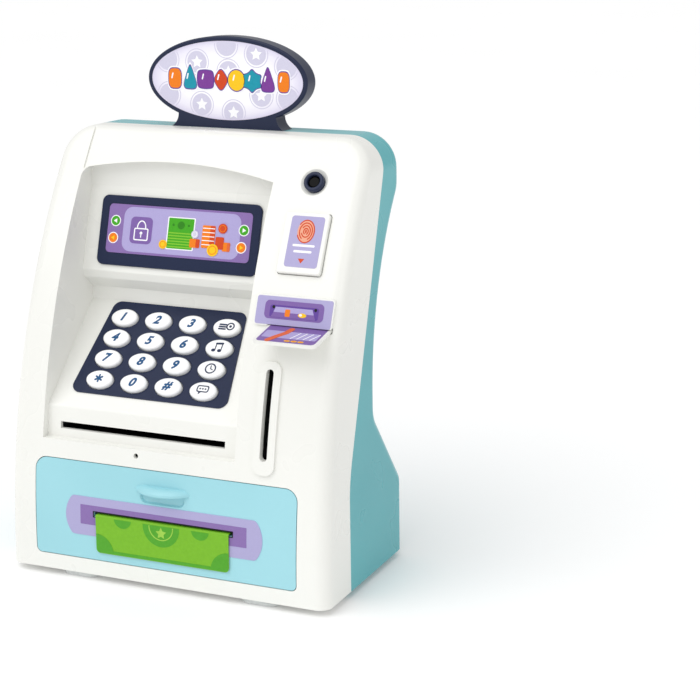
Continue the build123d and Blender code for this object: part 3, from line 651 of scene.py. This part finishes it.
def draw_coin(u, v, r):
    """Pale coin with an outer ring and a star."""
    steps = 72
    ring = ellipse(u, v, r, steps=steps)
    seen = [(a / RIM_U) ** 2 + (b / RIM_V) ** 2 < 0.99 for a, b in ring]
    if all(seen):
        sign.shape(INK["coin_lilac"], ring, ellipse(u, v, r - 0.4)[::-1])
    else:
        first = next(i for i in range(steps) if seen[i] and not seen[i - 1])
        start, end = (i * 360 / steps for i in (first, first + sum(seen) - 1))
        sign.shape(INK["coin_lilac"], stroke(arc_path(u, v, r - 0.2, r - 0.2, start, end, 48), 0.4))
    sign.shape(INK["coin_lilac"], pulled_in(ellipse(u, v, r - 1.2)))
    if (u / RIM_U) ** 2 + (v / RIM_V) ** 2 < 0.75:
        sign.shape(INK["white"], star(u, v, 0.5 * r), level=2)


COIN_RADIUS = 6.5
for u, v in ((-15.9, 8.6), (0.2, 17.2), (16.3, 13.2), (1.2, 4.2), (32.4, 7.6), (-13.6, -12.0), (3.8, -15.4),
             (18.9, -6.6), (-31.7, -7.8), (33.2, -7.6), (-32.2, 9.4)):
    draw_coin(u, v, COIN_RADIUS)

CONE = [(-4.6, -5), (4.6, -5), (0.6, 6.6), (-0.6, 6.6)]
COUNTERS = (
    ("orange", [(-3.6, -5), (3.6, -5), (3.6, 5), (-3.6, 5)]),
    ("teal", CONE),
    ("purple", star(0, 0, 5.8, 4, 0.8, pi / 4)),
    ("rust", [(-4.4, 0), (0, -6.2), (4.4, 0), (0, 6.2)]),
    ("yellow", ellipse(0, 0, 4.7, 5.2)),
    ("teal", star(0, 0, 5.9, 6, 0.72)),
    ("purple", CONE),
    ("orange", [(-3.1, -5), (3.1, -5), (3.1, 5), (-3.1, 5)]),
)
ROW_MIDDLE, ROW_PITCH, ROW_HEIGHT = 1.4, 8.45, 0.3
for i, (colour, loop) in enumerate(COUNTERS):
    u, v = ROW_MIDDLE + ROW_PITCH * (i - 3.5), ROW_HEIGHT
    plump = softened(loop)
    sign.shape(INK["white"], [(u + 1.2 * a, v + 1.2 * b) for a, b in plump], level=3 + i % 2)
    sign.shape(INK["plum"], [(u + 1.06 * a, v + 1.06 * b) for a, b in plump], level=5)
    sign.shape(INK[colour], [(u + 0.96 * a, v + 0.96 * b) for a, b in plump], level=6)
    sign.shape(INK["white"], stroke([(u - 1.7, v + 0.2), (u - 1.1, v + 2.4)], 0.7), level=7)
sign.piece("sign_print", "case", "sign_print")

# ---------------------------------------------------------------------------------------------
# Camera, floor and light
# ---------------------------------------------------------------------------------------------
camera = bpy.data.objects.new("camera", bpy.data.cameras.new("camera"))
camera.data.lens = CAMERA_LENS
camera.data.sensor_width = 36.0
camera.location = CAMERA_AT
turn, down = radians(CAMERA_TURN), radians(CAMERA_DOWN)
ahead = Vector((-sin(turn) * cos(down), cos(turn) * cos(down), -sin(down)))
camera.rotation_euler = ahead.to_track_quat("-Z", "Y").to_euler()
bpy.context.scene.collection.objects.link(camera)
bpy.context.scene.camera = camera

# Wide floor; its faint glow hides the horizon against the white backdrop.
floor_mesh = bpy.data.meshes.new("floor")
floor_mesh.from_pydata([(-6, -6, 0), (6, -6, 0), (6, 6, 0), (-6, 6, 0)], [], [(0, 1, 2, 3)])
floor = bpy.data.objects.new("floor", floor_mesh)
bpy.context.scene.collection.objects.link(floor)
floor_finish = Finish("studio_floor", 0.6, Emission_Color=(1.0, 1.0, 1.0, 1.0), Emission_Strength=0.07)
floor_finish.colours(floor_finish.noise(400.0), (0.3, "FAFAFA"), (0.7, "FCFCFC"))
floor_mesh.materials.append(floor_finish.material)


def softbox(name, at, target, size, power):
    """Square area light that faces its target."""
    lamp = bpy.data.lights.new(name, "AREA")
    lamp.shape = "SQUARE"
    lamp.size = size
    lamp.energy = power
    light = bpy.data.objects.new(name, lamp)
    light.location = at
    light.rotation_euler = (Vector(target) - Vector(at)).to_track_quat("-Z", "Y").to_euler()
    bpy.context.scene.collection.objects.link(light)


softbox("key_light", (-0.5, -0.9, 1.0), (0, 0, 0.1), 0.7, 0.6)
softbox("fill_light", (0.9, -0.5, 0.6), (0, 0, 0.12), 0.5, 0.8)

# A sun of wide angle, for even light with soft shadows.
sun = bpy.data.lights.new("overhead", "SUN")
sun.energy, sun.angle = 1.25, radians(60)
overhead = bpy.data.objects.new("overhead", sun)
overhead.rotation_euler = Vector((0.3, 0.6, -1.0)).to_track_quat("-Z", "Y").to_euler()
bpy.context.scene.collection.objects.link(overhead)

# The backdrop is seen white, and lights the bank a little less.
world = bpy.data.worlds.new("studio")
world.use_nodes = True
sky = world.node_tree
lighting = sky.nodes["Background"]
lighting.inputs["Color"].default_value = (1.0, 1.0, 1.0, 1.0)
lighting.inputs["Strength"].default_value = 0.68
backdrop = sky.nodes.new("ShaderNodeBackground")
backdrop.inputs["Color"].default_value = (1.0, 1.0, 1.0, 1.0)
backdrop.inputs["Strength"].default_value = 1.0
choice = sky.nodes.new("ShaderNodeMixShader")
sky.links.new(sky.nodes.new("ShaderNodeLightPath").outputs["Is Camera Ray"], choice.inputs["Fac"])
sky.links.new(lighting.outputs["Background"], choice.inputs[1])
sky.links.new(backdrop.outputs["Background"], choice.inputs[2])
sky.links.new(choice.outputs["Shader"], sky.nodes["World Output"].inputs["Surface"])
bpy.context.scene.world = world
bpy.context.scene.view_settings.view_transform = "Standard"
